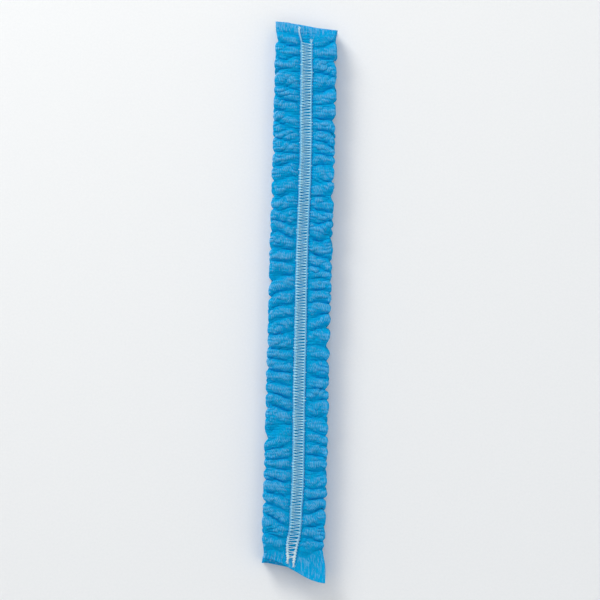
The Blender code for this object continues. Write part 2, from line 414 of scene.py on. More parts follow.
    def _noise(self, tree: bpy.types.NodeTree, place: bpy.types.NodeSocket,
               grain: Grain) -> bpy.types.NodeSocket:
        """Return soft noise with grains of this size on the flat cloth."""
        grid = add_node(tree, "ShaderNodeMapping", {
            "Vector": place, "Scale": (1 / grain.width, 1 / grain.length, 1.0)})
        return add_node(tree, "ShaderNodeTexNoise", {
            "Vector": grid.outputs["Vector"], "Scale": 1.0, "Detail": grain.detail,
            "Roughness": self.grain_roughness}).outputs["Fac"]

    def _sum(self, tree: bpy.types.NodeTree, start: float,
             *parts: tuple[bpy.types.NodeSocket, float]) -> bpy.types.NodeSocket:
        """Return the start value plus each pattern times its weight."""
        total = start
        for pattern, weight in parts:
            total = add_node(tree, "ShaderNodeMath", {0: pattern, 1: weight, 2: total},
                             operation="MULTIPLY_ADD").outputs[0]
        return total

    def _colour(self, ramp: bpy.types.ColorRamp) -> None:
        """Set the ramp from the deep creases to the crests' pale painted highlight."""
        stops = [(0.05, self.crease), (0.50, self.body), (1.00, self.crest)]
        while len(ramp.elements) < len(stops):
            ramp.elements.new(0.5)
        for element, (place, colour) in zip(ramp.elements, stops):
            element.position = place
            element.color = linear(colour)


@dataclass(frozen=True)
class SlackEnds:
    """Where the threads lie slack, as distances from the ends of the gathers."""

    bottom_inside: float = 7 * MM       # they start to slacken here
    bottom_outside: float = 2 * MM      # and are quite slack here
    top_inside: float = 3 * MM
    top_outside: float = 1 * MM
    top_slack: float = 0.5              # how slack the top ends are, 0 to 1

    def share(self, tree: bpy.types.NodeTree,
              place: bpy.types.NodeSocket) -> bpy.types.NodeSocket:
        """Return 0 where the threads are stretched, rising to 1 where they are quite slack.

        Args:
            tree: the material's node tree.
            place: the object coordinates, in metres.

        Returns:
            The output that gives the share.
        """
        along = add_node(tree, "ShaderNodeSeparateXYZ", {"Vector": place}).outputs["Y"]
        bottom = add_node(tree, "ShaderNodeMapRange", {
            "Value": along, "From Min": SIZES.first_gather + self.bottom_inside,
            "From Max": SIZES.first_gather - self.bottom_outside}).outputs["Result"]
        top = add_node(tree, "ShaderNodeMapRange", {
            "Value": along, "From Min": SIZES.last_gather - self.top_inside,
            "From Max": SIZES.last_gather + self.top_outside,
            "To Max": self.top_slack}).outputs["Result"]
        return add_node(tree, "ShaderNodeMath", {0: bottom, 1: top},
                        operation="MAXIMUM").outputs[0]


@dataclass(frozen=True)
class ThreadFinish:
    """What both kinds of white thread share: yarn with painted shade in its grooves, and whiter
    ends.
    """

    name: str
    colour: str
    # painted shade in the grooves of the yarn; colour is the lit yarn
    painted_shade: str
    slack: str
    pitch: float            # of the yarn's pattern
    relief: float
    relief_strength: float
    roughness: float
    sheen: float

    def yarn(self, tree: bpy.types.NodeTree,
             place: bpy.types.NodeSocket) -> bpy.types.NodeSocket:
        """Return the yarn's pattern, 0 to 1; each kind of thread has its own."""
        raise NotImplementedError

    def material(self) -> bpy.types.Material:
        """Build the material from the yarn's pattern, of lit colour and painted shade, and the slack
        ends.
        """
        material = bpy.data.materials.new(self.name)
        material.use_nodes = True
        tree = material.node_tree
        shader = tree.nodes["Principled BSDF"]
        place = add_node(tree, "ShaderNodeTexCoord").outputs["Object"]
        yarn = self.yarn(tree, place)
        # painted light and shade: the yarn's pattern mixes the shaded copy of the colour with the
        # lit one
        tone = add_node(tree, "ShaderNodeMix", {
            "Factor": yarn, "A": linear(self.painted_shade), "B": linear(self.colour)},
            data_type="RGBA").outputs["Result"]
        tone = add_node(tree, "ShaderNodeMix", {
            "Factor": SlackEnds().share(tree, place), "A": tone, "B": linear(self.slack)},
            data_type="RGBA").outputs["Result"]
        tree.links.new(tone, shader.inputs["Base Color"])
        bump = add_node(tree, "ShaderNodeBump", {
            "Height": yarn, "Distance": self.relief,
            "Strength": self.relief_strength}).outputs["Normal"]
        tree.links.new(bump, shader.inputs["Normal"])
        shader.inputs["Roughness"].default_value = self.roughness
        shader.inputs["Sheen Weight"].default_value = self.sheen
        return material


@dataclass(frozen=True)
class CoveredElastic(ThreadFinish):
    """Rubber thread wound with white textured polyester yarn: matte, soft white, finely ribbed.

    Where it is stretched the yarn opens and the blue shows through; its slack ends are whiter.
    Its colours are bluer still: painted shade, and painted blue light from the cloth.
    The windings are drawn coarser than the real ones, which are too fine to show.
    """

    name: str = "covered_elastic"
    # pale blue: partly the cloth seen through the yarn, partly painted shade and blue light
    colour: str = "#72C3E9"
    painted_shade: str = "#42A4DA"
    slack: str = "#D3EBF1"
    pitch: float = 0.30 * MM
    relief: float = 0.05 * MM
    relief_strength: float = 0.8
    roughness: float = 0.62
    sheen: float = 0.2

    def yarn(self, tree: bpy.types.NodeTree,
             place: bpy.types.NodeSocket) -> bpy.types.NodeSocket:
        """Return the yarn's windings, which lie across the thread."""
        return add_node(tree, "ShaderNodeTexWave", {
            "Vector": place, "Scale": wave_scale(self.pitch), "Distortion": 1.5,
            "Detail": 2.0, "Detail Scale": 2.0}, bands_direction="Y").outputs["Fac"]


@dataclass(frozen=True)
class BindingThread(ThreadFinish):
    """Twisted polyester sewing thread: white, faintly glossy, with a fine slanting twist.

    It is so thin that the blue cloth tints it, except where it bunches at its slack ends, and
    it is painted bluer still with painted blue light from the cloth. Its twist is drawn coarser
    than the real one, which is too fine to show.
    """

    name: str = "binding_thread"
    # pale blue: partly the cloth seen through the thin thread, partly painted blue light
    colour: str = "#CAF3FC"
    painted_shade: str = "#8DD9F6"
    slack: str = "#EEF8F8"
    pitch: float = 0.25 * MM
    relief: float = 0.03 * MM
    relief_strength: float = 0.7
    roughness: float = 0.5
    sheen: float = 0.1

    def yarn(self, tree: bpy.types.NodeTree,
             place: bpy.types.NodeSocket) -> bpy.types.NodeSocket:
        """Return the twist, as slanting bands."""
        return add_node(tree, "ShaderNodeTexWave", {
            "Vector": place, "Scale": wave_scale(self.pitch), "Distortion": 1.0},
            bands_direction="DIAGONAL").outputs["Fac"]


@dataclass(frozen=True)
class StudioPaper:
    """Seamless white background paper: matte, with a barely visible grain."""

    colour: str = "#F3F4F5"
    grain: str = "#ECEEF0"
    grain_size: float = 0.8 * MM
    roughness: float = 0.9

    def material(self) -> bpy.types.Material:
        """Build the material."""
        material = bpy.data.materials.new("studio_paper")
        material.use_nodes = True
        tree = material.node_tree
        shader = tree.nodes["Principled BSDF"]
        place = add_node(tree, "ShaderNodeTexCoord").outputs["Object"]
        grain = add_node(tree, "ShaderNodeTexNoise", {
            "Vector": place, "Scale": 1 / self.grain_size, "Detail": 2.0}).outputs["Fac"]
        tone = add_node(tree, "ShaderNodeMix", {
            "Factor": grain, "A": linear(self.colour), "B": linear(self.grain)},
            data_type="RGBA")
        tree.links.new(tone.outputs["Result"], shader.inputs["Base Color"])
        shader.inputs["Roughness"].default_value = self.roughness
        return material


class Gathering(NamedTuple):
    """What the gathers do to the cloth, in metres."""

    lift: np.ndarray    # how far they raise it over the threads' channel
    push: np.ndarray    # how far they push it along the strip


@dataclass
class GatherField:
    """Heights and edges of the gathered cloth, at any place over the strip."""

    # The large puffs
    puff: float = 1.98 * MM             # a puff's height over the creases beside it
    sink: float = 0.84 * MM             # how far the creases lie below the threads' channel
    puff_push: float = 0.60             # how boxy the puffs are, 0 for plain waves
    valley: float = 0.16                # how round the creases are, 0 for sharp ones
    puff_bend: Wander = Wander(0.32, 9 * MM, 12 * MM)           # in puffs
    puff_waver: Wander = Wander(0.12, 3.6 * MM, 4.5 * MM, 1.0)  # in puffs
    crease: float = 0.76                # how deep the creases are on average, 0 to 1
    crease_spread: Wander = Wander(0.34, 5.5 * MM, 4 * MM, 2.0)
    shallowest_crease: float = 0.25
    swell: Wander = Wander(0.10, 8 * MM, 6 * MM)                # of a puff's height

    # The smaller pleats that split the puffs
    pleat: float = 0.85 * MM
    pleat_pitch: float = 2.10 * MM
    pleat_push: float = 0.70            # how boxy they are
    pleat_slant: float = 1.6            # how much more they slant than the puffs
    pleat_bend: Wander = Wander(0.75, 5 * MM, 6 * MM)           # in pleats
    pleat_waver: Wander = Wander(0.35, 1.8 * MM, 2.6 * MM, 1.0)
    pleat_strength: float = 0.60
    pleat_spread: Wander = Wander(0.40, 3.6 * MM, 4.4 * MM, 2.0)
    pleat_roundness: float = 0.75       # 1 for the tops of a sine wave, less for flatter ones
    pleat_middle: float = 1.2           # what a ridge of height 2 sinks by
    channel_pleats: float = 0.30        # what is left of them in the threads' channel

    # The slant and the crumpling of all folds
    slope: Wander = Wander(0.30, EVEN, 14 * MM)
    local_slope: Wander = Wander(0.18, 6 * MM, 5 * MM)
    coarse_crumple: Wander = Wander(0.13 * MM, 1.6 * MM, 1.1 * MM)
    fine_crumple: Wander = Wander(0.09 * MM, 1.1 * MM, 0.6 * MM, 1.0)
    tail_crumple: float = 0.35          # what is left of it in the plain tails

    # Where the puffs rise beside the threads, in shares of the way out to the edge
    channel_half: float = 2.20 * MM
    lobe_rise: tuple[float, float] = (-0.06, 0.26)
    lobe_end: tuple[float, float] = (0.80, 1.04)
    lobe_fall: float = 0.45             # how much of their height they lose at the edge

    # The fine pleats that the stitches draw
    pucker: float = 0.30 * MM           # either way
    pucker_bend: Wander = Wander(2.2, 2.2 * MM, 3 * MM)         # in radians
    pucker_fan: float = 1.3 * MM        # beside the threads they spread by a radian in this
    pucker_split: Wander = Wander(1.0, 30 * MM, 6 * MM, 2.0)
    pucker_reach: float = 1.7 * MM
    reach_spread: Wander = Wander(0.9 * MM, EVEN, 2.2 * MM, 1.0)
    pucker_strength: float = 0.75
    pucker_spread: Wander = Wander(0.35, 2.5 * MM, 3.5 * MM, 4.0)
    far_pucker: float = 0.58            # what is left of them beyond their reach
    tail_pucker: float = 0.25           # what is left of them in the plain tails

    # The plain tails
    fade_outside: float = 3 * MM        # the gathers fade out over this, past their ends
    fade_inside: float = 4 * MM
    tail_start: Wander = Wander(1.6 * MM, 6 * MM, EVEN)
    tail_wave: Wander = Wander(0.26 * MM, 6 * MM, 5 * MM)
    tail_rib: float = 0.24 * MM
    tail_rib_pitch: float = 1.9 * MM
    tail_rib_bend: Wander = Wander(2.0, 5 * MM, 5 * MM)         # in radians
    tail_rib_strength: float = 0.65
    tail_rib_spread: Wander = Wander(0.45, 3 * MM, 6 * MM, 3.0)
    corner_lift: float = 0.9 * MM       # how far the front pleat's lowest corner curls up
    corner_span: tuple[float, float] = (-2 * MM, 12 * MM)

    # The levels of the layers
    front_level: float = 9.05 * MM      # the cloth under the front threads
    back_level: float = 1.02 * MM       # the cloth over the back threads
    back_depth: float = 1.3             # how much deeper the back's gathers are than the front's
    back_sag: float = 0.6 * MM          # how far the back's tails sag beside the threads
    back_sag_span: tuple[float, float] = (2 * MM, 6 * MM)
    stack_low: float = 1.80 * MM        # the lowest inner layer
    stack_high: float = 8.05 * MM       # the highest inner layer
    stack_back_depth: float = 1.2       # how much of the back's gathers the inner layers share
    stack_puff: float = 2.60 * MM
    stack_puff_middle: float = 0.70
    stack_pleat: float = 0.68 * MM
    stack_puff_push: float = 0.62 * MM
    stack_pleat_push: float = 0.20 * MM
    layer_ripple: float = 0.17 * MM     # each inner layer has ripples of its own
    layer_ripple_pitch: float = 1.7 * MM
    layer_ripple_bend: Wander = Wander(3.0, 5 * MM, 6 * MM)     # in radians
    floor_gap: float = 0.09 * MM        # what lies on the floor keeps this above it
    layer_rest: float = 0.22 * MM       # how much higher each layer rests than the one below
    rest_rounding: float = 0.08 * MM

    # The folded edges and the free rims
    notch: float = 1.90 * MM            # how far a crease draws in the fold that it meets
    loop: float = 0.42 * MM             # how far an inner fold swells past its layers' ends
    outer_loop: float = 0.70 * MM       # the same for the folds next to the outer pleats
    edge_probe: float = 0.5 * MM        # how far inside the edge its puffs are read
    edge_wander: Wander = Wander(0.35 * MM, EVEN, 9 * MM)
    inner_inset: float = 0.30 * MM      # how far the inner folds lie behind the outer ones
    bottom_pinch: float = 0.9 * MM      # how far the first gathers draw in both edges
    bottom_pinch_length: float = 3.5 * MM
    top_pinch: float = 0.7 * MM
    top_pinch_length: float = 3.0 * MM
    rim_ruffle: float = 0.25 * MM
    rim_wave: Wander = Wander(1.0, EVEN, 2.2 * MM, 1.0)

    noises: dict[str, SmoothNoise] = field(default_factory=dict)

    def noise(self, name: str) -> SmoothNoise:
        """Return the noise of this name, the same one each time."""
        if name not in self.noises:
            seed = sum((place + 1) * ord(letter) for place, letter in enumerate(name))
            self.noises[name] = SmoothNoise(seed)
        return self.noises[name]

    def activity(self, x: np.ndarray, y: np.ndarray) -> np.ndarray:
        """Return 1 where the threads gather the cloth, falling to 0 in the plain tails."""
        place = y + self.noise("tail").wander(self.tail_start, x, y * 0)
        rising = smoothstep(SIZES.first_gather - self.fade_outside,
                            SIZES.first_gather + self.fade_inside, place)
        falling = smoothstep(SIZES.last_gather - self.fade_inside,
                             SIZES.last_gather + self.fade_outside, place)
        return rising * (1 - falling)

    def slant(self, name: str, x: np.ndarray, y: np.ndarray) -> np.ndarray:
        """Return places along the strip, shifted so that the folds slant and curve, in metres."""
        noise = self.noise(name + " slant")
        slope = noise.wander(self.slope, x * 0, y) + noise.wander(self.local_slope, x, y)
        return y + slope * x

    def puffs(self, name: str, x: np.ndarray, y: np.ndarray) -> tuple[np.ndarray, np.ndarray]:
        """Return the large puffs of one side of a pleat.

        Args:
            name: the side's name, which picks its noise.
            x: places across, in metres.
            y: places along, in metres.

        Returns:
            Their height, from 0 in a crease to 1 on a crest, and their push along, -1 to 1.
        """
        noise = self.noise(name)
        count = (self.slant(name, x, y) - SIZES.first_gather) / SIZES.gather_length
        count = count + noise.wander(self.puff_bend, x, y)
        count = count + noise.wander(self.puff_waver, x, y)
        soft = self.valley
        crown = np.sqrt(np.sin(math.pi * count) ** 2 + soft * soft) - soft
        crown = crown / (math.hypot(1.0, soft) - soft)
        depth = self.crease + noise.wander(self.crease_spread, x, y)
        depth = np.clip(depth, self.shallowest_crease, 1.0)
        return 1 - depth * (1 - crown), -depth * np.sin(2 * math.pi * count)

    def pleats(self, name: str, x: np.ndarray, y: np.ndarray) -> tuple[np.ndarray, np.ndarray]:
        """Return the smaller pleats that split the puffs, as a height and a push, -1 to 1."""
        noise = self.noise(name + " small")
        count = self.slant(name + " small", self.pleat_slant * x, y) / self.pleat_pitch
        count = count + noise.wander(self.pleat_bend, x, y)
        count = count + noise.wander(self.pleat_waver, x, y)
        strength = self.pleat_strength + noise.wander(self.pleat_spread, x, y)
        ridges = 2 * np.abs(np.sin(math.pi * count)) ** self.pleat_roundness - self.pleat_middle
        return ridges * strength, -strength * np.sin(2 * math.pi * count)

    def on_each_side(self, pattern: Callable, face: Face, x: np.ndarray,
                     y: np.ndarray) -> tuple[np.ndarray, np.ndarray]:
        """Work out a pattern that each side of a face's threads has its own of.

        Args:
            pattern: the method that makes it, such as puffs.
            face: the outer pleat.
            x: places across, in metres.
            y: places along, in metres.

        Returns:
            Its height and its push along.
        """
        left = pattern(f"{face.value} left", x, y)
        right = pattern(f"{face.value} right", x, y)
        is_left = x < route_x(face, y)
        return np.where(is_left, left[0], right[0]), np.where(is_left, left[1], right[1])

    def crumple(self, name: str, x: np.ndarray, y: np.ndarray) -> np.ndarray:
        """Return the fine crumpling of the cloth, in metres."""
        noise = self.noise(name + " crumple")
        return noise.wander(self.coarse_crumple, x, y) + noise.wander(self.fine_crumple, x, y)

    def lobe(self, face: Face, x: np.ndarray, y: np.ndarray) -> tuple[np.ndarray, np.ndarray]:
        """Return how fully the puffs rise beside the threads, and the distance to the threads."""
        aside = np.abs(x - route_x(face, y))
        reach = SIZES.half_width - self.channel_half
        share = (aside - self.channel_half) / reach
        fall = 1 - self.lobe_fall * smoothstep(*self.lobe_end, share)
        return smoothstep(*self.lobe_rise, share) * fall, aside

    def stitch_puckers(self, aside: np.ndarray, y: np.ndarray) -> np.ndarray:
        """Return the fine pleats that each stitch draws into the cloth, in metres."""
        noise = self.noise("stitch")
        beyond = np.clip(aside - SIZES.thread_spacing / 2, 0.0, None)
        bend = noise.wander(self.pucker_bend, aside, y)
        bend = bend + beyond / self.pucker_fan * noise.wander(self.pucker_split, aside, y)
        wave = np.sin(2 * math.pi * y / SIZES.stitch_pitch + bend)
        reach = self.pucker_reach + noise.wander(self.reach_spread, aside * 0, y)
        strength = self.pucker_strength + noise.wander(self.pucker_spread, aside, y)
        return self.pucker * wave * strength * eased_up(self.far_pucker, np.exp(-beyond / reach))

    def gathering(self, face: Face, x: np.ndarray, y: np.ndarray) -> Gathering:
        """Return the gathers of an outer pleat; each side of its threads has its own."""
        lobe, aside = self.lobe(face, x, y)
        active = self.activity(x, y)
        puffs, puff_push = self.on_each_side(self.puffs, face, x, y)
        pleats, pleat_push = self.on_each_side(self.pleats, face, x, y)
        swell = 1.0 + self.noise("swell").wander(self.swell, x, y)
        split = eased_up(self.channel_pleats, lobe)
        lift = lobe * (self.puff * puffs * swell - self.sink)
        lift = lift + split * self.pleat / 2 * pleats
        push = lobe * self.puff_push * puff_push * SIZES.gather_length / (2 * math.pi)
        push = push + split * self.pleat_push * pleat_push * self.pleat_pitch / (2 * math.pi)
        stitches = eased_up(self.tail_pucker, active) * self.stitch_puckers(aside, y)
        return Gathering(active * lift + stitches, active * push)

    def tail_lift(self, layer: int, x: np.ndarray, y: np.ndarray) -> np.ndarray:
        """Return how a layer's plain tail waves and lifts, in metres."""
        noise = self.noise(f"tail of layer {layer}")
        bend = noise.wander(self.tail_rib_bend, x, y)
        strength = self.tail_rib_strength + noise.wander(self.tail_rib_spread, x, y)
        ribs = np.sin(2 * math.pi * x / self.tail_rib_pitch + bend)
        lift = noise.wander(self.tail_wave, x, y) + self.tail_rib * strength * ribs
        if layer == 0:
            corner = smoothstep(*self.corner_span, x)
            lowest = 1 - smoothstep(0.0, SIZES.bottom_tail, y - SIZES.low.y)
            lift = lift + self.corner_lift * corner * lowest
        return lift

    def shape(self, layer: int, x: np.ndarray, y: np.ndarray) -> tuple[np.ndarray, np.ndarray]:
        """Work out where a layer's cloth lies.

        Args:
            layer: 0 for the front pleat, and so on down to the back pleat.
            x: places across, in metres.
            y: places along before the gathers push the cloth, in metres.

        Returns:
            The places along and the middle heights of the cloth, in metres.
        """
        if layer == 0:
            gathers = self.gathering(Face.FRONT, x, y)
            active = self.activity(x, y)
            height = self.front_level + gathers.lift
            height = height + eased_up(self.tail_crumple, active) * self.crumple("front", x, y)
            return y + gathers.push, height + (1 - active) * self.tail_lift(layer, x, y)
        if layer == SIZES.layers - 1:
            return self.back_shape(x, y)
        return self.inner_shape(layer, x, y)

    def resting(self, layer: int, height: np.ndarray) -> np.ndarray:
        """Return a layer's height, flattened where it lies on the floor or on the layers below."""
        floor = self.floor_gap + self.layer_rest * (SIZES.layers - 1 - layer)
        lift = height - floor
        return floor + (lift + np.hypot(lift, self.rest_rounding)) / 2

    def back_shape(self, x: np.ndarray, y: np.ndarray) -> tuple[np.ndarray, np.ndarray]:
        """Return where the back pleat lies, with its creases drawn up round the threads."""
        gathers = self.gathering(Face.BACK, x, y)
        aside = np.abs(x - route_x(Face.BACK, y))
        sag = (1 - self.activity(x, y)) * self.back_sag * smoothstep(*self.back_sag_span, aside)
        height = self.back_level - self.back_depth * gathers.lift - sag
        height = height + self.crumple("back", x, y)
        return y + gathers.push, self.resting(SIZES.layers - 1, height)

    def inner_shape(self, layer: int, x: np.ndarray, y: np.ndarray) -> tuple[np.ndarray, np.ndarray]:
        """Return where an inner layer lies, nested between the gathers of both outer pleats."""
        up = 1 - layer / (SIZES.layers - 1)
        between = 1 - (layer - 1) / (SIZES.layers - 3)
        active = self.activity(x, y)
        front = self.gathering(Face.FRONT, x, y)
        back = self.gathering(Face.BACK, x, y)
        puffs, puff_push = self.puffs("stack", x, y)
        pleats, pleat_push = self.pleats("stack", x, y)
        level = self.stack_low + (self.stack_high - self.stack_low) * between
        inside = 4 * up * (1 - up) * active
        lift = up * front.lift - (1 - up) * self.stack_back_depth * back.lift
        lift = lift + inside * self.stack_puff * (puffs - self.stack_puff_middle)
        lift = lift + inside * self.stack_pleat * pleats
        push = up * front.push + (1 - up) * back.push
        push = push + inside * self.stack_puff_push * puff_push
        push = push + inside * self.stack_pleat_push * pleat_push
        bend = self.noise(f"layer {layer}").wander(self.layer_ripple_bend, x, y)
        own = np.sin(2 * math.pi * y / self.layer_ripple_pitch + bend)
        height = level + lift + active * self.layer_ripple * own
        height = height + (1 - active) * self.tail_lift(layer, x, y)
        return y + push, self.resting(layer, height)

    def edge(self, number: int, y: np.ndarray) -> np.ndarray:
        """Return how far from the middle an edge of the folded cloth lies.

        Args:
            number: 0 for the front free rim, 1 for the first fold, and so on.
            y: places along the strip.

        Returns:
            The distance across, in metres, with the swell of the fold's loop.
        """
        side = Side.RIGHT if number % 2 == 0 else Side.LEFT
        across = np.full_like(y, side.value * (SIZES.half_width - self.edge_probe))
        up = 1 - number / SIZES.layers
        front = self.puffs(f"front {side.name.lower()}", across, y)[0]
        back = self.puffs(f"back {side.name.lower()}", across, y)[0]
        active = self.activity(across, y)
        noise = self.noise(f"wander of edge {number}")
        creases = up * (1 - front) + (1 - up) * (1 - back)
        wander = np.abs(noise.wander(self.edge_wander, y * 0, y))
        from_bottom = (y - SIZES.first_gather) / self.bottom_pinch_length
        from_top = (y - SIZES.last_gather) / self.top_pinch_length
        pinch = self.bottom_pinch * np.exp(-from_bottom ** 2)
        pinch = pinch + self.top_pinch * np.exp(-from_top ** 2)
        inset = active * self.notch * creases + wander + pinch
        if 1 < number < SIZES.layers - 1:
            inset = inset + active * self.inner_inset
        if number in (0, SIZES.layers):
            ruffle = 1 + noise.wander(self.rim_wave, y * 0, y)
            inset = inset + active * self.rim_ruffle * ruffle
        return SIZES.half_width - inset


@dataclass(frozen=True)
class Column:
    """One line of the cloth, which runs the whole length of the strip."""

    layer: int                  # the layer it lies in, or the layer above the fold
    share: float                # how far along the layer it is, from its start edge
    angle: float | None = None  # where round the fold it is, from 90 to -90 degrees, in radians


@dataclass
class ClothPanel:
    """A run of columns of the folded cloth, made into one piece."""

    name: str
    columns: list[Column]
    rows: int
    flat_width: float
    held: str


@dataclass
class PleatedCloth:
    """The folded and gathered rectangle of nonwoven, in three panels that meet in its folds."""

    gather: GatherField = field(default_factory=GatherField)
    finish: SpunbondNonwoven = field(default_factory=SpunbondNonwoven)
    front_columns: int = 41
    back_columns: int = 34
    front_rows: int = 980
    inner_rows: int = 525
    back_rows: int = 900
    tuck: float = 0.10                  # share of a layer by which the outer panels tuck in
    lap: float = 0.8                    # share of the tuck where the inner panel starts
    cut_ragged: Wander = Wander(0.16 * MM, 0.9 * MM, EVEN)
    least_fold: float = 0.1 * MM        # the least half height of a fold
    channel_tone: float = 0.45          # how pale the calm cloth by the threads is, 0 to 1
    # the tails' tones are a painted highlight, paler for the light they catch
    bottom_tail_tone: float = 0.74      # the same for the plain tails, which catch more light
    top_tail_tone: float = 1.00
    full_gather: float = 1.2 * MM       # cloth that rises by this much is no longer calm
    least_rise: float = 0.05 * MM

    INNER_SHARES = (0.0, 0.08, 0.35, 0.68, 0.93)
    FOLD_ANGLES = (60, 20, -20, -60)
    OUTER_FOLD_ANGLES = (75, 45, 15, -15, -45, -75)
    TOP_CUT_ROW = 5                     # of the noise; the bottom cut reads row 0

    def build(self) -> list[bpy.types.Object]:
        """Build the three panels and dress them.

        Returns:
            The front pleat, the inner pleats and the back pleat.
        """
        material = self.finish.material()
        panels = [self.front_panel(), self.inner_panel(), self.back_panel()]
        pieces = []
        for panel in panels:
            piece = self.make_piece(panel)
            piece.data.materials.append(material)
            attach(piece, ROOT)
            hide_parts(CROWN)
            pieces.append(piece)
        return pieces

    def fold(self, layer: int, angles: tuple[int, ...]) -> list[Column]:
        """Return the columns round the fold that ends a layer."""
        return [Column(layer, 1.0, math.radians(angle)) for angle in angles]

    def front_panel(self) -> ClothPanel:
        """Lay out the front pleat, its fold and the tuck behind it."""
        columns = [Column(0, share) for share in np.linspace(0, 1, self.front_columns)]
        columns += self.fold(0, self.OUTER_FOLD_ANGLES)
        columns += [Column(1, 0.0), Column(1, self.tuck / 2), Column(1, self.tuck)]
        width = 2 * SIZES.half_width * (1 + self.tuck)
        return ClothPanel("front_pleat", columns, self.front_rows, width, "gathered")

    def inner_panel(self) -> ClothPanel:
        """Lay out the inner pleats, whose folds the gathers draw in by a quarter of a notch."""
        columns = [Column(1, self.tuck * self.lap)]
        columns += [Column(1, share) for share in self.INNER_SHARES[2:]]
        last = SIZES.layers - 2
        for layer in range(1, last):
            columns += [Column(layer, 1.0), *self.fold(layer, self.FOLD_ANGLES)]
            shares = self.INNER_SHARES if layer + 1 < last else self.INNER_SHARES[:-1]
            columns += [Column(layer + 1, share) for share in shares]
        columns.append(Column(last, 1 - self.tuck * self.lap))
        width = 2 * (SIZES.half_width - self.gather.notch / 4) * (SIZES.layers - 2)
        return ClothPanel("inner_pleats", columns, self.inner_rows, width, "folded")

    def back_panel(self) -> ClothPanel:
        """Lay out the tuck over the back pleat, its fold and the back pleat."""
        last = SIZES.layers - 1
        columns = [Column(last - 1, 1 - self.tuck), Column(last - 1, 1 - self.tuck / 2)]
        columns += [Column(last - 1, 1.0), *self.fold(last - 1, self.OUTER_FOLD_ANGLES)]
        columns += [Column(last, share) for share in np.linspace(0, 1, self.back_columns)]
        width = 2 * SIZES.half_width * (1 + self.tuck)
        return ClothPanel("back_pleat", columns, self.back_rows, width, "gathered")

    def cut_ends(self, column: Column, across: float) -> tuple[float, float]:
        """Return where along the strip a column starts and ends.

        Args:
            column: the line of cloth.
            across: its rough place across the strip, in metres.

        Returns:
            Its bottom and its top end, in metres.
        """
        row = column.layer + column.share
        first = min(int(row), len(CUT_EDGES) - 2)
        share = row - first
        before, after = CUT_EDGES[first], CUT_EDGES[first + 1]
        eased = float(smoothstep(0.0, 1.0, share))
        bottom = before.bottom + (after.bottom - before.bottom) * eased
        top = before.top + (after.top - before.top) * eased
        ragged = self.gather.noise(f"cut {column.layer}")
        place = np.array([across])
        top_row = place * 0 + self.TOP_CUT_ROW
        rough_bottom = float(ragged.wander(self.cut_ragged, place, place * 0)[0])
        rough_top = float(ragged.wander(self.cut_ragged, place, top_row)[0])
        low = SIZES.low.y + bottom * SIZES.bottom_tail + max(rough_bottom, 0.0)
        high = SIZES.high.y - top * SIZES.top_tail - max(rough_top, 0.0)
        return low, high

    def place_column(self, column: Column, rows: int) -> np.ndarray:
        """Work out every point of one column.

        Args:
            column: the line of cloth.
            rows: how many points it has.

        Returns:
            An array of rows by 3, in metres.
        """
        start_side = 1 if column.layer % 2 == 0 else -1
        across = start_side * (1 - 2 * column.share) * SIZES.half_width
        low, high = self.cut_ends(column, across)
        y = np.linspace(low, high, rows)
        start = start_side * self.layer_end(column.layer, y)
        end = -start_side * self.layer_end(column.layer + 1, y)
        if column.angle is None:
            x = start + (end - start) * column.share
            along, height = self.gather.shape(column.layer, x, y)
            return np.stack([x, along, height], axis=1)
        upper_along, upper = self.gather.shape(column.layer, end, y)
        lower_along, lower = self.gather.shape(column.layer + 1, end, y)
        half = np.maximum((upper - lower) / 2, self.least_fold)
        x = end - start_side * self.loop_depth(column.layer + 1) * math.cos(column.angle)
        share = (1 + math.sin(column.angle)) / 2
        along = upper_along * share + lower_along * (1 - share)
        return np.stack([x, along, (upper + lower) / 2 + half * math.sin(column.angle)], axis=1)

    def loop_depth(self, edge: int) -> float:
        """Return how far the fold at an edge swells past its layers' ends."""
        if edge in (0, SIZES.layers):
            return 0.0
        if edge in (1, SIZES.layers - 1):
            return self.gather.outer_loop
        return self.gather.loop

    def layer_end(self, edge: int, y: np.ndarray) -> np.ndarray:
        """Return where the flat run of a layer ends at an edge, as a distance from the middle."""
        return self.gather.edge(edge, y) - self.loop_depth(edge)

    def make_piece(self, panel: ClothPanel) -> bpy.types.Object:
        """Fold a plain grid into a panel, with its flat cloth as a UV map and a wall of cloth.

        Args:
            panel: the panel's columns and rows.

        Returns:
            The finished piece.
        """
        count = len(panel.columns)
        bpy.ops.object.select_all(action="DESELECT")
        bpy.ops.mesh.primitive_grid_add(x_subdivisions=count - 1, y_subdivisions=panel.rows - 1,
                                        size=1.0, location=(0.0, 0.0, 0.0))
        piece = bpy.context.object
        piece.name = panel.name
        piece.data.name = panel.name
        points = np.stack([self.place_column(column, panel.rows) for column in panel.columns],
                          axis=1)
        piece.data.vertices.foreach_set("co", points.reshape(-1).astype(np.float32))
        self.add_flat_cloth(piece, panel)
        self.add_crest(piece, points)
        piece.data.update()
        wall = piece.modifiers.new("cloth", "SOLIDIFY")
        wall.thickness = SIZES.cloth
        wall.offset = 0.0
        wall.use_even_offset = False
        bpy.ops.object.modifier_apply(modifier=wall.name)
        piece.data.shade_smooth()
        return piece

    def add_flat_cloth(self, piece: bpy.types.Object, panel: ClothPanel) -> None:
        """Give each point its place in the flat cloth, in metres, as the UV map flat_cloth."""
        across = [2 * SIZES.half_width * (column.layer + column.share) for column in panel.columns]
        along = np.linspace(0.0, SIZES.flat_length, panel.rows)
        flat = np.stack(np.meshgrid(across, along), axis=-1).reshape(-1, 2)
        data = piece.data
        while data.uv_layers:
            data.uv_layers.remove(data.uv_layers[0])
        layer = data.uv_layers.new(name="flat_cloth")
        corners = np.empty(len(data.loops), dtype=np.int64)
        data.loops.foreach_get("vertex_index", corners)
        layer.data.foreach_set("uv", flat[corners].reshape(-1).astype(np.float32))

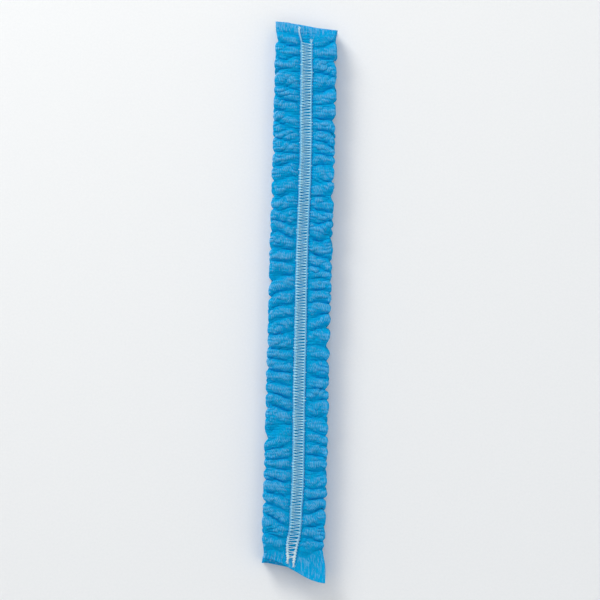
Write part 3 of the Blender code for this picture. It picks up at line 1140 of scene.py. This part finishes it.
    def add_crest(self, piece: bpy.types.Object, points: np.ndarray) -> None:
        """Store each point's painted highlight, from its height in its puff, and where the cloth is
        plain.

        Args:
            piece: the panel, before it gets its wall. Its attribute of the painted highlight is 0 in
                a crease and 1 on a crest, and painted paler on the tails; its attribute plain is 1
                in the tails and 0 in the gathers.
            points: the panel's points, in rows along the strip.
        """
        heights = points[:, :, 2]
        window = max(3, int(round(SIZES.gather_length / (SIZES.length / heights.shape[0]))))
        padded = np.pad(heights, ((window // 2, window // 2), (0, 0)), mode="edge")
        stack = np.stack([padded[shift:shift + heights.shape[0]] for shift in range(window)])
        lowest = stack.min(axis=0)
        highest = stack.max(axis=0)
        gathered = np.clip((highest - lowest) / self.full_gather, 0.0, 1.0)
        crest = (heights - lowest) / np.maximum(highest - lowest, self.least_rise)
        plain = 1 - self.gather.activity(points[:, :, 0], points[:, :, 1])
        # painted highlight: the tails are painted paler, for the light they catch
        tail = np.where(points[:, :, 1] > 0, self.top_tail_tone, self.bottom_tail_tone)
        calm = self.channel_tone + (tail - self.channel_tone) * plain
        crest = calm + (crest - calm) * gathered * (1 - plain)
        for name, values in (("crest", crest), ("plain", plain)):
            attribute = piece.data.attributes.new(name, "FLOAT", "POINT")
            attribute.data.foreach_set("value", values.reshape(-1).astype(np.float32))


class Spot(Enum):
    """A spot of a stitch, as its place across the strip."""

    LEFT_TICK = "just outside the left thread, beside it"
    LEFT = "over the left thread"
    MIDDLE = "between the threads, down on the cloth"
    RIGHT = "over the right thread"
    RIGHT_TICK = "just outside the right thread, beside it"


class StitchPoint(NamedTuple):
    """One point of the binding thread's way through a stitch."""

    spot: Spot
    along: float            # share of the stitch's length
    tilted: float           # share of the rung's tilt that it takes on
    loosened: float         # share of the length that it shifts by where the thread zigzags
    fullness: float         # of the binding thread's radius; it bunches over the elastic


# Each stitch goes over both threads, round the right one, and back to the left one
STITCH_PATH = [
    StitchPoint(Spot.LEFT_TICK, along=0.00, tilted=0, loosened=0.00, fullness=0.90),
    StitchPoint(Spot.LEFT, along=0.04, tilted=0, loosened=0.00, fullness=1.40),
    StitchPoint(Spot.MIDDLE, along=0.00, tilted=1, loosened=0.00, fullness=0.60),
    StitchPoint(Spot.RIGHT, along=0.08, tilted=1, loosened=0.00, fullness=1.40),
    StitchPoint(Spot.RIGHT_TICK, along=0.18, tilted=1, loosened=0.00, fullness=0.90),
    StitchPoint(Spot.RIGHT, along=0.26, tilted=1, loosened=0.00, fullness=1.40),
    StitchPoint(Spot.MIDDLE, along=0.48, tilted=0, loosened=0.15, fullness=0.55),
    StitchPoint(Spot.LEFT, along=0.64, tilted=0, loosened=0.28, fullness=1.40),
]


@dataclass
class ElasticPair:
    """The two covered elastic threads of one face, with the ladder of thread that binds them."""

    face: Face
    gather: GatherField

    # The elastic threads
    bead: float = 0.07 * MM             # how much each stitch swells the elastic
    slack_bead: float = 0.16 * MM       # the same where the elastic lies slack
    slack_before: float = 1 * MM        # it is slack this far below the first tight stitch
    slack_past: float = 2 * MM          # and taut this far above it
    bead_middle: float = 1.1            # what a bead of height 2 sinks by
    floor_margin: float = 0.02 * MM
    end_size: float = 0.72              # share of the radius that is left at the cut ends
    end_length: float = 0.8 * MM
    bottom_swell: float = 0.22          # how much thicker the unstretched bottom end is
    bottom_swell_length: float = 7 * MM
    flare: float = 0.9 * MM             # how far the left thread's top end turns aside
    flare_length: float = 5.5 * MM
    convergence: float = 0.60           # share of the pair's spacing that is left at the bottom
    convergence_length: float = 7.4 * MM
    rail_wander: Wander = Wander(0.09 * MM, EVEN, 2.7 * MM)
    rail_lift: Wander = Wander(0.03 * MM, EVEN, 2 * MM)
    rings_per_stitch: int = 5

    # The ladder of stitches
    thread: float = 0.12 * MM           # the binding thread's radius
    open_stitches: tuple[float, ...] = (1.6, 1.5, 1.5, 1.4, 1.4, 1.3, 1.2, 1.1)   # the lowest ones
    bottom_bare: float = 0.4 * MM       # the elastic that sticks out below the first stitch
    top_bare: float = 0.5 * MM
    step_spread: float = 0.10           # how uneven the stitches are
    step_limit: float = 1.5
    seat: float = 0.75                  # share of its radius that the thread stands off the elastic
    tick_depth: float = 0.8             # share of the elastic's radius, down its far side
    middle_depth: float = 0.10 * MM
    tick: float = 0.34 * MM             # how far each rung reaches past the elastic, at least
    tick_spread: float = 0.62 * MM
    tick_rarity: int = 3                # the higher, the fewer long ticks there are
    zigzag: Wander = Wander(1.6, EVEN, 4 * MM)
    zigzag_middle: float = 0.45
    open_step: float = 1.3              # stitches longer than this run straight across
    stray: float = 0.3 * MM             # how far the middle of a rung strays aside
    tilt: float = 0.05                  # the least tilt of a rung, as a share of its stitch
    tilt_spread: float = 0.16

    # The frayed ends
    strands: int = 16
    strand: float = 0.045 * MM
    fray_turn: float = 0.12             # how the strands fan out, in radians
    fray_bend: float = 0.24
    fray_reach: tuple[float, float] = (1.2 * MM, 2.4 * MM)
    fray_aside: tuple[float, float] = (-0.22 * MM, 0.22 * MM)
    fray_height: tuple[float, float] = (-0.20 * MM, 0.22 * MM)
    fray_droop: tuple[float, float] = (0.0, 0.35 * MM)
    fray_root: float = 0.7 * MM         # how deep in the elastic the strands start

    STRAND_SHARES = (0.0, 0.25, 0.5, 0.75, 1.0)

    def nodes(self) -> list[str]:
        """Return the names of the CAD threads, left first."""
        return [f"{self.face.value}_elastic_left", f"{self.face.value}_elastic_right"]

    def span(self, node: str) -> tuple[float, float]:
        """Return where along the strip a thread starts and ends."""
        low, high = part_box(node)
        return low.y, high.y

    def level(self) -> float:
        """Return the height of the threads' middle."""
        low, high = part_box(self.nodes()[0])
        return (low.z + high.z) / 2

    def radius(self) -> float:
        """Return the bare radius of one thread; its CAD node is a hexagon laid on its side."""
        low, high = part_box(self.nodes()[0])
        return (high.z - low.z) / 2 / math.cos(math.radians(30))

    def outward(self) -> float:
        """Return +1 if this face's stitches show from above, and -1 if from below."""
        return 1.0 if self.face is Face.FRONT else -1.0

    def chance(self, number: int) -> np.random.Generator:
        """Return a seeded source of chance for one of this face's details."""
        return np.random.default_rng(10 * number + (1 if self.face is Face.FRONT else 2))

    def rail_x(self, side: Side, y: np.ndarray) -> np.ndarray:
        """Return a thread's place across the strip; the pair draws together at the bottom."""
        start = self.span(self.nodes()[0 if side is Side.LEFT else 1])[0]
        spread = smoothstep(start, start + self.convergence_length, y)
        spread = self.convergence + (1 - self.convergence) * spread
        noise = self.gather.noise(f"{self.face.value} rail {side.name}")
        wander = noise.wander(self.rail_wander, y * 0, y)
        if side is Side.LEFT:
            end = self.span(self.nodes()[0])[1]
            wander = wander - self.flare * smoothstep(end - self.flare_length, end, y)
        half = SIZES.thread_spacing / 2
        return route_x(self.face, y) + side.value * spread * half + wander

    def stitch_places(self) -> np.ndarray:
        """Return where each stitch starts along the strip; the lowest ones are pulled open."""
        first = max(self.span(node)[0] for node in self.nodes()) + self.bottom_bare
        last = min(self.span(node)[1] for node in self.nodes()) - self.top_bare
        steps = np.array(self.open_stitches)
        count = int((last - first) / SIZES.stitch_pitch - steps.sum())
        steps = np.concatenate([steps, np.ones(count)])
        unevenness = self.chance(1).normal(0.0, 1.0, len(steps))
        steps = steps + self.step_spread * unevenness.clip(-self.step_limit, self.step_limit)
        return first + SIZES.stitch_pitch * np.concatenate([[0.0], np.cumsum(steps)])

    def build(self) -> list[bpy.types.Object]:
        """Build both threads, their ladder of stitches and their frayed ends.

        Returns:
            The pieces, all riding on the one body.
        """
        elastic = CoveredElastic().material()
        binding = BindingThread().material()
        pieces = []
        for side, node in zip((Side.LEFT, Side.RIGHT), self.nodes()):
            rail = self.make_rail(side, node)
            rail.data.materials.append(elastic)
            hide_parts(node)
            pieces.append(rail)
        for piece in (self.make_ladder(), self.make_frays()):
            piece.data.materials.append(binding)
            pieces.append(piece)
        for piece in pieces:
            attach(piece, ROOT)
        return pieces

    def new_curve(self, name: str, thickness: float, roundness: int) -> bpy.types.Curve:
        """Start a round curve.

        Args:
            name: the piece's name.
            thickness: its radius, in metres.
            roundness: 1 for six sides and 2 for eight.

        Returns:
            The curve, with nothing in it yet.
        """
        curve = bpy.data.curves.new(f"{self.face.value}_{name}", "CURVE")
        curve.dimensions = "3D"
        curve.bevel_depth = thickness
        curve.bevel_resolution = roundness
        curve.use_fill_caps = True
        curve.resolution_u = 2
        return curve

    def make_rail(self, side: Side, node: str) -> bpy.types.Object:
        """Make one elastic thread, swollen between the stitches that bind it.

        Args:
            side: which thread of the pair it is.
            node: the CAD thread that it stands for.

        Returns:
            The thread as one closed mesh.
        """
        start, end = self.span(node)
        rings = int((end - start) / SIZES.stitch_pitch * self.rings_per_stitch)
        y = np.linspace(start, end, rings)
        places = self.stitch_places()
        first_tight = places[len(self.open_stitches)]
        count = np.interp(y, places, np.arange(len(places)))
        count = np.where(y < first_tight, (y - first_tight) / SIZES.stitch_pitch, count)
        taut = smoothstep(first_tight - self.slack_before, first_tight + self.slack_past, y)
        bead = self.slack_bead + (self.bead - self.slack_bead) * taut
        beads = 2 * np.abs(np.sin(math.pi * count)) - self.bead_middle
        swell = 1 + bead * beads / self.radius()
        to_end = np.minimum(y - start, end - y)
        taper = eased_up(self.end_size, smoothstep(0.0, self.end_length, to_end))
        slack = 1 - smoothstep(start, start + self.bottom_swell_length, y)
        taper = taper * (1.0 + self.bottom_swell * slack)
        lifts = self.gather.noise(f"{self.face.value} lift").wander(self.rail_lift, y * 0, y)
        points = np.stack([self.rail_x(side, y), y, self.level() + lifts, np.ones_like(y)], axis=1)
        curve = self.new_curve(f"thread_{side.name.lower()}", self.radius(), 2)
        spline = curve.splines.new("POLY")
        spline.points.add(rings - 1)
        spline.points.foreach_set("co", points.reshape(-1))
        fullest = (self.level() - self.floor_margin) / self.radius()
        spline.points.foreach_set("radius", np.minimum(swell * taper, fullest))
        return self.as_mesh(curve)

    def stitch_points(self) -> list[tuple[float, float, float]]:
        """Follow the binding thread over, across and back for every stitch.

        Returns:
            The thread's points, in metres, from the bottom end to the top end. Each stitch has
            one point for each row of STITCH_PATH.
        """
        up = self.outward()
        over = self.level() + up * (self.radius() + self.seat * self.thread)
        fullest = max(point.fullness for point in STITCH_PATH)
        over = max(over, fullest * self.thread + self.floor_margin)
        beside = self.level() - up * self.radius() * self.tick_depth
        middle = self.level() - up * self.middle_depth
        places = self.stitch_places()
        chance = self.chance(2)
        points = []
        for y, following in zip(places, places[1:]):
            step = following - y
            slant, left_tick, right_tick, stray = chance.uniform(0.0, 1.0, 4)
            left, right = (float(self.rail_x(side, np.array([y]))[0]) for side in Side)
            centre = (left + right) / 2 + (stray - 0.5) * self.stray
            spots = {
                Spot.LEFT_TICK: (left - self.tick_reach(left_tick), beside),
                Spot.LEFT: (left, over),
                Spot.MIDDLE: (centre, middle),
                Spot.RIGHT: (right, over),
                Spot.RIGHT_TICK: (right + self.tick_reach(right_tick), beside),
            }
            loose = self.looseness(y, step)
            tilt = (self.tilt + self.tilt_spread * slant) * step
            for point in STITCH_PATH:
                across, height = spots[point.spot]
                shift = (point.along + point.loosened * loose) * step
                points.append((across, y + tilt * point.tilted + shift, height))
        return points

    def tick_reach(self, chance: float) -> float:
        """Return how far a rung reaches past the elastic, for a chance of 0 to 1."""
        return self.tick + self.tick_spread * chance ** self.tick_rarity

    def looseness(self, y: float, step: float) -> float:
        """Return how far a stitch zigzags, from 0 to 1; the open ones run straight across."""
        if step > self.open_step * SIZES.stitch_pitch:
            return 0.0
        noise = self.gather.noise(f"{self.face.value} zigzag")
        loose = float(noise.wander(self.zigzag, np.array([0.0]), np.array([y]))[0])
        return min(max(self.zigzag_middle + loose, 0.0), 1.0)

    def make_ladder(self) -> bpy.types.Object:
        """Make the ladder of stitches as one round thread.

        Returns:
            The thread as a mesh.
        """
        points = np.array([(*point, 1.0) for point in self.stitch_points()])
        curve = self.new_curve("ladder_stitch", self.thread, 1)
        spline = curve.splines.new("NURBS")
        spline.points.add(len(points) - 1)
        spline.points.foreach_set("co", points.reshape(-1))
        fullness = [point.fullness for point in STITCH_PATH]
        stitches = len(points) // len(STITCH_PATH)
        spline.points.foreach_set("radius", np.tile(fullness, stitches))
        spline.order_u = 3
        spline.use_endpoint_u = True
        return self.as_mesh(curve)

    def make_frays(self) -> bpy.types.Object:
        """Make the frayed yarn that stands out of the cut ends of both threads.

        Returns:
            The yarn ends as one mesh.
        """
        chance = self.chance(3)
        curve = self.new_curve("frayed_ends", self.strand, 1)
        for side, node in zip((Side.LEFT, Side.RIGHT), self.nodes()):
            for end, direction in zip(self.span(node), (-1.0, 1.0)):
                x = float(self.rail_x(side, np.array([end]))[0])
                for _ in range(self.strands):
                    self.add_strand(curve, chance, Vector((x, end, self.level())), direction)
        return self.as_mesh(curve)

    def add_strand(self, curve: bpy.types.Curve, chance: np.random.Generator, cut: Vector,
                   direction: float) -> None:
        """Add one strand of yarn that stands out of a cut end.

        Args:
            curve: the curve that it goes into.
            chance: the seeded source of chance.
            cut: the middle of the cut end, in metres.
            direction: +1 at the top end and -1 at the bottom end.
        """
        up = self.outward()
        turn = chance.normal(0.0, self.fray_turn)
        bend = chance.normal(0.0, self.fray_bend)
        reach = chance.uniform(*self.fray_reach)
        root_x = cut.x + chance.uniform(*self.fray_aside)
        root_z = cut.z + up * chance.uniform(*self.fray_height)
        droop = chance.uniform(*self.fray_droop)
        spline = curve.splines.new("NURBS")
        spline.points.add(len(self.STRAND_SHARES) - 1)
        for point, share in zip(spline.points, self.STRAND_SHARES):
            angle = turn * share + bend * share * share
            out = reach * share * math.cos(angle) - self.fray_root
            point.co = (root_x + reach * share * math.sin(angle), cut.y + direction * out,
                        root_z - up * droop * share * share, 1.0)
        spline.order_u = 3
        spline.use_endpoint_u = True

    def as_mesh(self, curve: bpy.types.Curve) -> bpy.types.Object:
        """Turn a curve into a mesh piece with outward faces."""
        piece = bpy.data.objects.new(curve.name, curve)
        bpy.context.collection.objects.link(piece)
        bpy.ops.object.select_all(action="DESELECT")
        piece.select_set(True)
        bpy.context.view_layer.objects.active = piece
        bpy.ops.object.convert(target="MESH")
        piece = bpy.context.object
        piece.data.name = piece.name
        piece.data.shade_smooth()
        return piece


class SoftBox(NamedTuple):
    """A square soft light that points at the strip."""

    name: str
    place: tuple[float, float, float]   # in metres
    size: float                         # the length of its sides, in metres
    power: float                        # in watts
    colour: str


@dataclass
class Studio:
    """The pale floor, the soft lights and the camera, which looks down on the strip."""

    floor_size: float = 5.0
    floor_steps: int = 64
    flat_radius: float = 1.2
    sweep: float = 0.6          # how steeply the paper rises past its flat middle
    key: SoftBox = SoftBox("key", (-0.46, 0.70, 0.56), 0.40, 5.5, "#FFFDF8")
    fill_light: SoftBox = SoftBox("fill", (0.60, -0.30, 0.70), 0.90, 1.3, "#F6FAFF")
    ceiling_strength: float = 1.0
    ceiling_spread: float = 75.0
    ceiling_height: float = 1.3
    room_colour: str = "#F4F7FA"
    room_strength: float = 0.28
    elevation: float = 84.0
    distance: float = 0.90
    fill: float = 0.93          # share of the frame's height that the strip takes up
    lean: float = 1.5           # how far the strip's top leans to the right in the picture

    def build(self) -> None:
        """Lay the floor, hang the lights and set up the camera."""
        self.add_floor()
        self.add_soft_box(self.key)
        self.add_soft_box(self.fill_light)
        self.add_ceiling()
        self.add_world()
        self.add_camera()
        bpy.context.scene.view_settings.view_transform = "Standard"
        log.info("studio: floor, three lights and the camera")

    def add_floor(self) -> None:
        """Lay the sheet of paper that the strip lies on; it sweeps up far around the strip."""
        bpy.ops.object.select_all(action="DESELECT")
        bpy.ops.mesh.primitive_grid_add(x_subdivisions=self.floor_steps,
                                        y_subdivisions=self.floor_steps,
                                        size=self.floor_size, location=(0.0, 0.0, 0.0))
        floor = bpy.context.object
        floor.name = "studio_floor"
        for vertex in floor.data.vertices:
            beyond = max(vertex.co.xy.length - self.flat_radius, 0.0)
            vertex.co.z = self.sweep * beyond * beyond
        floor.data.shade_smooth()
        floor.data.materials.append(StudioPaper().material())

    def add_soft_box(self, box: SoftBox) -> None:
        """Hang one square light and point it at the strip."""
        data = bpy.data.lights.new(box.name, "AREA")
        data.energy = box.power
        data.size = box.size
        data.color = linear(box.colour)[:3]
        light = bpy.data.objects.new(box.name, data)
        light.location = box.place
        light.rotation_euler = (-Vector(box.place)).to_track_quat("-Z", "Y").to_euler()
        bpy.context.collection.objects.link(light)

    def add_ceiling(self) -> None:
        """Light the strip and the whole floor evenly from above, as a white ceiling does."""
        data = bpy.data.lights.new("ceiling", "SUN")
        data.energy = self.ceiling_strength
        data.angle = math.radians(self.ceiling_spread)
        light = bpy.data.objects.new("ceiling", data)
        light.location = (0.0, 0.0, self.ceiling_height)
        bpy.context.collection.objects.link(light)

    def add_world(self) -> None:
        """Fill the room with pale, even light."""
        world = bpy.data.worlds.new("studio_room")
        world.use_nodes = True
        background = world.node_tree.nodes["Background"]
        background.inputs["Color"].default_value = linear(self.room_colour)
        background.inputs["Strength"].default_value = self.room_strength
        bpy.context.scene.world = world

    def add_camera(self) -> None:
        """Place the camera almost straight over the strip, with the strip upright in its frame."""
        tilt = math.radians(self.elevation)
        middle = Vector((0.0, 0.0, (SIZES.low.z + SIZES.high.z) / 2))
        away = Vector((0.0, -math.cos(tilt), math.sin(tilt)))
        data = bpy.data.cameras.new("camera")
        camera = bpy.data.objects.new("camera", data)
        camera.location = middle + away * self.distance
        turn = Euler((math.pi / 2 - tilt, 0.0, 0.0)).to_matrix()
        lean = Euler((0.0, 0.0, math.radians(self.lean))).to_matrix()
        camera.rotation_euler = (turn @ lean).to_euler()
        seen = SIZES.length * math.sin(tilt) / self.fill
        data.lens_unit = "FOV"
        data.angle = 2 * math.atan(seen / 2 / self.distance)
        bpy.context.collection.objects.link(camera)
        bpy.context.scene.camera = camera


def main() -> None:
    """Build the cloth, the threads and the studio."""
    cloth = PleatedCloth()
    pieces = cloth.build()
    for face in Face:
        pieces += ElasticPair(face, cloth.gather).build()
    for piece in pieces:
        log.info("%s: %d faces", piece.name, len(piece.data.polygons))
    Studio().build()


if __name__ == "__main__":
    main()
